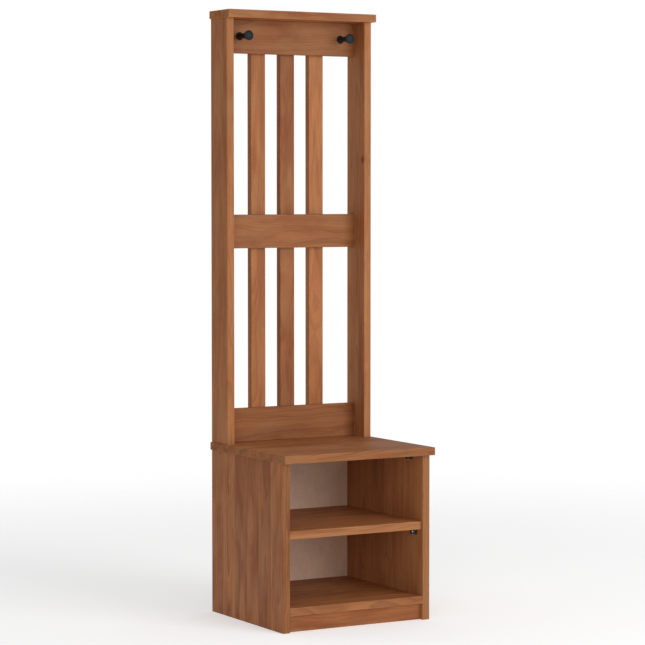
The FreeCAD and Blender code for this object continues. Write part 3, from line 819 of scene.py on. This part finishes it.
def knob_outline(width, height):
    """The outline of a knob that stands on its base, as (radius, height) points."""
    look = bpy.context.scene.hall_knob
    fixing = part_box("knob_inserts")
    bore = (fixing[1].z - fixing[0].z) / 2 + 0.0001
    bore_depth = fixing[1].y - fixing[0].y + 0.001
    base, neck, head = look.base_width / 2, look.neck_width / 2, width / 2
    rim_height = height - look.dome
    neck_height, round_ = look.neck_height, look.round

    def hollow_middle(radius, level):
        """The middle of the arc from the neck to a wider place, level with the neck."""
        out, up = radius - neck, level - neck_height
        return neck + (out**2 + up**2) / (2 * out), neck_height

    base_top = (base - round_, look.base_height)
    rim = (head, rim_height - round_ * 0.6)
    lower = arc(base_top, (neck, neck_height), hollow_middle(*base_top), 14)
    upper = arc((neck, neck_height), rim, hollow_middle(*rim), 26)
    shoulder = (head - round_, rim_height + round_ * 0.55)
    shoulder_arc = arc(rim, shoulder, (head - round_, rim_height - round_ * 0.5), 6)
    dome_radius = (shoulder[0] ** 2 + (height - shoulder[1]) ** 2) / (2 * (height - shoulder[1]))
    dome_arc = arc(shoulder, (0, height), (0, height - dome_radius), 14)
    foot = [
        (0, bore_depth),
        (bore, bore_depth),
        (bore, 0),
        (base - round_ / 2, 0),
        (base, round_ / 2),
        (base, look.base_height - round_ * 0.6),
        (base - round_ * 0.3, look.base_height - round_ * 0.15),
        base_top,
    ]
    sides = [*lower, (neck, neck_height), *upper, rim, *shoulder_arc]
    return [*foot, *sides, shoulder, *dome_arc, (0, height)]


class HALLTREE_OT_knobs(bpy.types.Operator):
    """Turns the two knobs on the top rail"""

    bl_idname = "halltree.knobs"
    bl_label = "Knobs"

    def execute(self, context):
        material = lacquer_material()
        for side in ("left", "right"):
            low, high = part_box(f"knob_{side}")
            bm = turned(knob_outline(high.x - low.x, high.y - low.y), 96)
            foot = Vector(((low.x + high.x) / 2, high.y, (low.z + high.z) / 2))
            forward = Matrix.Translation(foot) @ Matrix.Rotation(math.pi / 2, 4, "X")
            bmesh.ops.transform(bm, matrix=forward, verts=bm.verts)
            add_piece(f"turned_knob_{side}", bm, material, f"knob_{side}")
        return {"FINISHED"}


# --- The fittings ----------------------------------------------------------------------------


def plastic_material():
    """Matt black moulded plastic with a fine spark texture."""
    look = bpy.context.scene.hall_fittings
    s = Shader("black_plastic")
    place = s.place()
    grain = s.noise(s.scaled(place, (1800, 1800, 1800)), 2)
    cloud = s.noise(s.scaled(place, (120, 120, 120)), 2)
    return s.finish(
        Base_Color=s.dim(solid(look.plastic), 0.75 + cloud * 0.6),
        Roughness=0.45 + grain * 0.2,
        Normal=s.bump(grain * 0.00004),
    )


def metal_material(name, colour, roughness, tarnish):
    """Plated or bare metal, with a mottled surface and some tarnish in patches."""
    s = Shader(name)
    place = s.place()
    mottle = s.noise(s.scaled(place, (900, 900, 900)), 3, 0.6)
    patches = s.step(s.noise(s.scaled(place, (160, 160, 160)), 3, 0.6), 0.45, 0.75)
    bright = s.dim(solid(colour), 0.85 + mottle * 0.3)
    return s.finish(
        Base_Color=s.mix(patches * tarnish, bright, s.dim(solid(colour), 0.45)),
        Metallic=1.0,
        Roughness=roughness + mottle * 0.16 + patches * tarnish * 0.5,
        Normal=s.bump(mottle * 0.00002),
    )


def beech_material():
    """Bare beech with short flecks along the dowels."""
    look = bpy.context.scene.hall_fittings
    s = Shader("beech")
    place = s.place()
    fleck = s.step(s.noise(s.scaled(place, (240, 900, 900)), 3, 0.6), 0.52, 0.66)
    cloud = s.noise(s.scaled(place, (60, 60, 60)), 2)
    colour = s.mix(fleck * 0.45, solid(look.beech), s.dim(solid(look.beech), 0.55))
    return s.finish(
        Base_Color=s.dim(colour, 0.8 + cloud * 0.4),
        Roughness=0.6 + fleck * 0.1,
        Normal=s.bump(fleck * 0.00004),
    )


def point_outline(shank, length):
    """The outline of a shank's pointed end, from the point up."""
    return [(0, -length), (shank * 0.35, -length + shank * 0.7), (shank, -length + shank * POINT_LENGTH)]


def pan_screw(length, width, head_height, pitch, pointed=True):
    """A screw with a round-topped head and a cross recess, its top at the origin and its length down Z."""
    radius, shank = width / 2, width / 4
    flat = radius * 0.74
    shoulder = (radius, -head_height * 0.55)
    root = shank * THREAD_ROOT
    if pointed:
        tip = point_outline(root, length)
    else:
        tip = [(0, -length), (root * 0.8, -length), (root, -length + shank * 0.2)]
    shoulder_arc = arc(shoulder, (flat, 0), (flat * 0.86, -head_height * 0.72), 5)
    under = [(root, -head_height), (radius * 0.94, -head_height), (radius, -head_height * 0.9)]
    body = turned([*tip, *under, shoulder, *shoulder_arc, (flat, 0)], SCREW_STEPS)
    cross_recess(body, radius * 0.5, radius * 0.26, head_height * 0.62)
    clean(body)
    tail = length - shank * (POINT_LENGTH if pointed else 0.3)
    ridge = thread(root * 0.98, shank, pitch, -tail, -head_height - pitch)
    return joined(body, ridge)


def flush_screw(length, width, pitch):
    """A countersunk screw with a cross recess, its top at the origin and its length down Z."""
    radius, shank = width / 2, width / 4
    root = shank * THREAD_ROOT
    cone = radius - shank
    head = [(root, -cone * 1.5), (shank, -cone), (radius, -0.0002), (radius * 0.98, 0), (radius * 0.62, 0)]
    body = turned([*point_outline(root, length), *head], SCREW_STEPS)
    cross_recess(body, radius * 0.42, radius * 0.22, cone * 0.8)
    clean(body)
    ridge = thread(root * 0.98, shank, pitch, -length + shank * POINT_LENGTH, -cone - 3 * pitch)
    return joined(body, ridge)


def alike(found):
    """Pins grouped by their length and the width of their head."""
    groups = {}
    for matrix, length, width in found:
        groups.setdefault((round(length, 4), round(width, 4)), []).append(matrix)
    return groups


def add_pins(name, material, node, make):
    """One piece for a node of pins. The make function gives a mesh from a length and a head width."""
    whole = bmesh.new()
    spare = bpy.data.meshes.new(name + "_part")
    for (length, width), places in alike(pins(node)).items():
        part = repeated(make(length, width), places)
        part.to_mesh(spare)
        part.free()
        whole.from_mesh(spare)
    bpy.data.meshes.remove(spare)
    add_piece(name, whole, material, node)


class HALLTREE_OT_blocks(bpy.types.Operator):
    """Moulds the black corner blocks, with a collar round each screw"""

    bl_idname = "halltree.blocks"
    bl_label = "Corner blocks"

    def execute(self, context):
        look = context.scene.hall_fittings
        material = plastic_material()
        for place in BLOCK_PLACES:
            node = f"{place}_corner_blocks"
            bm = merged(node)
            bmesh.ops.dissolve_limit(
                bm,
                angle_limit=math.radians(0.5),
                use_dissolve_boundaries=False,
                verts=bm.verts,
                edges=bm.edges,
            )
            ease(bm, look.edge)
            mesh = bpy.data.meshes.new(node + "_part")
            for matrix, _, width in pins(f"{place}_block_screws"):
                collar = self.collar(width / 2, round(width, 4) * HEAD_HEIGHT)
                bmesh.ops.transform(collar, matrix=matrix, verts=collar.verts)
                collar.to_mesh(mesh)
                collar.free()
                bm.from_mesh(mesh)
            bpy.data.meshes.remove(mesh)
            add_piece(f"moulded_blocks_{place}", bm, material, node)
        return {"FINISHED"}

    @staticmethod
    def collar(radius, head_height):
        """A low ring on the block round a screw's head."""
        inner, outer, top = radius + 0.0002, radius + 0.0011, -head_height + 0.0008
        under = -head_height - 0.0002
        outline = [
            (inner, under),
            (outer, under),
            (outer, top - 0.0003),
            (outer - 0.0003, top),
            (inner + 0.0001, top),
            (inner, top - 0.0001),
            (inner, under),
        ]
        return turned(outline, 32)


class HALLTREE_OT_block_screws(bpy.types.Operator):
    """Makes the cross-head screws of the corner blocks"""

    bl_idname = "halltree.block_screws"
    bl_label = "Block screws"

    def execute(self, context):
        look = context.scene.hall_fittings
        material = metal_material("zinc_plate", look.zinc, 0.22, 0.25)

        def make(length, width):
            return pan_screw(length, width, width * HEAD_HEIGHT, look.screw_pitch)

        for place in BLOCK_PLACES:
            node = f"{place}_block_screws"
            add_pins(f"cross_head_screws_{place}", material, node, make)
        return {"FINISHED"}


class HALLTREE_OT_long_screws(bpy.types.Operator):
    """Makes the countersunk screws of the slats and the posts"""

    bl_idname = "halltree.long_screws"
    bl_label = "Countersunk screws"

    def execute(self, context):
        look = context.scene.hall_fittings
        material = metal_material("zinc_plate_countersunk", look.zinc, 0.24, 0.3)

        def make(length, width):
            return flush_screw(length, width, look.screw_pitch)

        for place in ("slat", "post"):
            add_pins(f"countersunk_screws_{place}", material, f"{place}_screws", make)
        return {"FINISHED"}


class HALLTREE_OT_nails(bpy.types.Operator):
    """Makes the nails of the back panel"""

    bl_idname = "halltree.nails"
    bl_label = "Nails"

    def execute(self, context):
        look = context.scene.hall_fittings
        material = metal_material("nail_steel", look.steel, 0.34, 0.45)
        add_pins("panel_nails", material, "back_panel_nails", self.nail)
        return {"FINISHED"}

    @staticmethod
    def nail(length, width):
        """A flat-headed nail with a few grip rings under its head."""
        radius, shank = width / 2, width * NAIL_SHANK
        grips = []
        for step in range(NAIL_GRIPS):
            height = -GRIPS_DOWN + step * GRIP_PITCH
            grips.extend([(shank * 0.93, height - 0.0002), (shank, height)])
        outline = [
            (0, -length),
            (shank, -length + shank * 3),
            *grips,
            (shank, -0.0011),
            (radius * 0.9, -0.0007),
            (radius, -0.0005),
            (radius, -0.0002),
            (radius * 0.9, 0),
            (0, 0),
        ]
        return joined(turned(outline, 24))


class HALLTREE_OT_knob_fixings(bpy.types.Operator):
    """Makes the inserts, washers and machine screws that hold the knobs"""

    bl_idname = "halltree.knob_fixings"
    bl_label = "Knob fixings"

    def execute(self, context):
        look = context.scene.hall_fittings
        zinc = metal_material("zinc_plate_bolts", look.zinc, 0.2, 0.15)
        brass = metal_material("brass", look.brass, 0.26, 0.2)

        def make(length, width):
            return pan_screw(length, width, width * BOLT_HEAD_HEIGHT, look.bolt_pitch, pointed=False)

        add_pins("machine_screws", zinc, "knob_bolts", make)
        for name, node, material, slot, steps, edge, knurled in (
            ("pressed_washers", "knob_washers", zinc, "zinc_steel", 48, 0.0001, False),
            ("knurled_inserts", "knob_inserts", brass, "brass", 60, 0.0003, True),
        ):
            rings = [self.ring(*corners(points), steps, edge, knurled) for points in solids(node)]
            whole = bmesh.new()
            mesh = joined(*rings)
            whole.from_mesh(mesh)
            bpy.data.meshes.remove(mesh)
            add_piece(name, whole, material, node)
        return {"FINISHED"}

    @staticmethod
    def ring(low, high, steps, edge, knurled):
        """A ring about a line along Y that fills a box, with rounded rims and perhaps knurls."""
        radius, length, hole = (high.x - low.x) / 2, high.y - low.y, BOLT_HOLE
        outline = [
            (hole, edge),
            (hole + edge, 0),
            (radius - edge, 0),
            (radius - edge * 0.3, edge * 0.3),
            (radius, edge),
            (radius, length - edge),
            (radius - edge * 0.3, length - edge * 0.3),
            (radius - edge, length),
            (hole + edge, length),
            (hole, length - edge),
            (hole, edge),
        ]
        bm = turned(outline, steps)
        if knurled:
            groove(bm, radius, steps, GROOVE, 2)
        centre = (low + high) / 2
        foot = Vector((centre.x, high.y, centre.z))
        matrix = Matrix.Translation(foot) @ Matrix.Rotation(math.pi / 2, 4, "X")
        bmesh.ops.transform(bm, matrix=matrix, verts=bm.verts)
        return bm


def groove(bm, radius, steps, depth, every):
    """Sinks every so many columns of points of a turned bmesh's outer wall."""
    for point in bm.verts:
        reach = math.hypot(point.co.x, point.co.y)
        column = round(math.atan2(point.co.y, point.co.x) / FULL_TURN * steps)
        if reach > radius * 0.97 and column % every == 0:
            factor = (reach - depth) / reach
            point.co.x *= factor
            point.co.y *= factor


class HALLTREE_OT_dowels(bpy.types.Operator):
    """Makes the fluted dowels"""

    bl_idname = "halltree.dowels"
    bl_label = "Dowels"

    def execute(self, context):
        material = beech_material()
        for place in DOWEL_PLACES:
            add_pins(f"fluted_dowels_{place}", material, f"{place}_dowels", self.dowel)
        return {"FINISHED"}

    @staticmethod
    def dowel(length, width):
        """A dowel with chamfered ends and straight flutes."""
        radius, chamfer, steps = width / 2, 0.0012, 48
        outline = [
            (0, -length),
            (radius - chamfer, -length),
            (radius, -length + chamfer),
            (radius, -chamfer),
            (radius - chamfer, 0),
            (0, 0),
        ]
        bm = turned(outline, steps)
        groove(bm, radius, steps, GROOVE, 4)
        return joined(bm)


# --- The stage -------------------------------------------------------------------------------


class HALLTREE_OT_stage(bpy.types.Operator):
    """Lays the floor, hangs the lights and places the camera"""

    bl_idname = "halltree.stage"
    bl_label = "Stage"

    def execute(self, context):
        look = context.scene.hall_stage
        self.floor(look)
        self.sky(context.scene, look)
        self.lamp("key", look.key_place, look.key, look.key_size, look.aim)
        self.lamp("fill", look.fill_place, look.fill, look.fill_size, look.aim)
        self.camera(context.scene, look)
        context.scene.view_settings.view_transform = "Standard"
        return {"FINISHED"}

    @staticmethod
    def floor(look):
        """A plain pale floor."""
        bm = bmesh.new()
        bmesh.ops.create_grid(bm, x_segments=1, y_segments=1, size=look.floor_size / 2)
        mesh = bpy.data.meshes.new("floor")
        bm.to_mesh(mesh)
        bm.free()
        s = Shader("floor")
        away = s.parts(s.place())
        distance = (away["X"] ** 2 + away["Y"] ** 2) ** 0.5
        fade = s.step(distance, look.floor_reach, 3 * look.floor_reach, 1, 0)
        mesh.materials.append(
            s.finish(
                Base_Color=solid(look.floor),
                Roughness=0.9,
                Specular_IOR_Level=0.0,
                Emission_Color=(1, 1, 1, 1),
                Emission_Strength=look.floor_glow,
                Alpha=fade,
            )
        )
        floor = bpy.data.objects.new("floor", mesh)
        bpy.context.scene.collection.objects.link(floor)

    @staticmethod
    def sky(scene, look):
        """Even light from all round, in front of a white backdrop."""
        world = bpy.data.worlds.new("studio")
        world.use_nodes = True
        nodes, links = world.node_tree.nodes, world.node_tree.links
        background = nodes["Background"]
        background.inputs["Color"].default_value = (1, 1, 1, 1)
        seen = nodes.new("ShaderNodeLightPath").outputs["Is Camera Ray"]
        strength = nodes.new("ShaderNodeMapRange")
        strength.inputs["To Min"].default_value = look.sky
        strength.inputs["To Max"].default_value = 1
        links.new(seen, strength.inputs["Value"])
        links.new(strength.outputs["Result"], background.inputs["Strength"])
        scene.world = world

    @staticmethod
    def lamp(name, place, power, size, aim):
        """A large soft lamp that faces the object."""
        light = bpy.data.lights.new(name, "AREA")
        light.energy = power
        light.size = size
        lamp = bpy.data.objects.new(name, light)
        bpy.context.scene.collection.objects.link(lamp)
        lamp.location = place
        lamp.rotation_euler = (Vector(place) - Vector(aim)).to_track_quat("Z", "Y").to_euler()

    @staticmethod
    def camera(scene, look):
        """The camera, in front and to the left."""
        data = bpy.data.cameras.new("camera")
        data.lens = look.lens
        camera = bpy.data.objects.new("camera", data)
        scene.collection.objects.link(camera)
        level = math.cos(look.tilt)
        sideways, forwards = math.sin(look.heading) * level, math.cos(look.heading) * level
        ahead = Vector((sideways, forwards, -math.sin(look.tilt)))
        camera.location = Vector(look.aim) - ahead * look.distance
        camera.rotation_euler = (math.pi / 2 - look.tilt, 0, -look.heading)
        scene.camera = camera


# --- The panel and the run -------------------------------------------------------------------

SETTINGS = {
    "hall_pine": PineSettings,
    "hall_panel": PanelSettings,
    "hall_knob": KnobSettings,
    "hall_fittings": FittingSettings,
    "hall_stage": StageSettings,
}
OPERATORS = (
    HALLTREE_OT_pine,
    HALLTREE_OT_back_panel,
    HALLTREE_OT_knobs,
    HALLTREE_OT_blocks,
    HALLTREE_OT_block_screws,
    HALLTREE_OT_long_screws,
    HALLTREE_OT_nails,
    HALLTREE_OT_knob_fixings,
    HALLTREE_OT_dowels,
    HALLTREE_OT_stage,
)


class HALLTREE_PT_panel(bpy.types.Panel):
    """Lists the pieces of the hall tree and their sizes and colours"""

    bl_idname = "HALLTREE_PT_panel"
    bl_label = "Hall tree"
    bl_space_type = "VIEW_3D"
    bl_region_type = "UI"
    bl_category = "Hall tree"

    def draw(self, context):
        for operator in OPERATORS:
            self.layout.operator(operator.bl_idname)
        for name, group in SETTINGS.items():
            box = self.layout.box()
            box.label(text=group.__doc__)
            for setting in group.__annotations__:
                box.prop(getattr(context.scene, name), setting)


def register():
    """Registers the settings, the operators and the panel."""
    for name, group in SETTINGS.items():
        bpy.utils.register_class(group)
        setattr(bpy.types.Scene, name, bpy.props.PointerProperty(type=group))
    for kind in (*OPERATORS, HALLTREE_PT_panel):
        bpy.utils.register_class(kind)


def unregister():
    """Undoes what register did."""
    for kind in (HALLTREE_PT_panel, *reversed(OPERATORS)):
        bpy.utils.unregister_class(kind)
    for name, group in SETTINGS.items():
        delattr(bpy.types.Scene, name)
        bpy.utils.unregister_class(group)


def main():
    """Builds everything in order."""
    register()
    for operator in OPERATORS:
        group, name = operator.bl_idname.split(".")
        getattr(getattr(bpy.ops, group), name)()


if __name__ == "__main__":
    main()
